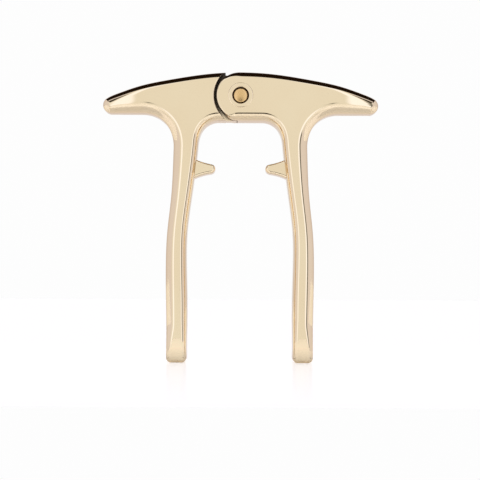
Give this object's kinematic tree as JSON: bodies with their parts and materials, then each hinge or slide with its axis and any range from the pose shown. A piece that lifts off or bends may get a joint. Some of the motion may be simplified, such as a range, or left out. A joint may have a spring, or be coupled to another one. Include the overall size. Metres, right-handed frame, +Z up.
{
  "type": "saxophone mouthpiece clip ligature",
  "caption": "Sprung two-lever clip that straddles a saxophone mouthpiece, holding the reed's edges with small inward teeth; hinged on one pin, opened by its wings.",
  "frame": {"origin": "on the surface the clip stands on, midway between its two feet and in the middle of its thickness", "axes": "+Z up from the feet to the hinge, +Y along the hinge pin from the pin's domed head to its screw, +X towards the lever that carries the two hinge ears"},
  "size_m": [0.065, 0.0102, 0.0682],
  "materials": {
    "gold_plate": "mirror-polished pale gold plate over cast brass",
    "pin_gold": "polished gold plate, a deeper tone than the levers",
    "bronze": "machined sintered bronze, faintly oiled",
    "washer_brass": "rolled brass shim, satin",
    "spring_steel": "drawn spring wire, satin"
  },
  "bodies": {
    "right_body": {"right_lever": "gold_plate", "hinge_pin": "pin_gold", "pin_screw": "pin_gold", "front_washer": "washer_brass", "rear_washer": "washer_brass", "torsion_spring": "spring_steel"},
    "left_body": {"left_lever": "gold_plate", "tongue_bush": "bronze"}
  },
  "joints": [
    {"name": "clip_hinge", "type": "hinge", "parent": "right_body", "child": "left_body", "pos_m": [0, 0, 0.0625], "axis": [0, 1, 0], "range_deg": [0, 40], "stiffness_Nm_per_rad": 0.072, "springref_deg": -40.11, "deforming": ["torsion_spring"]}
  ]
}
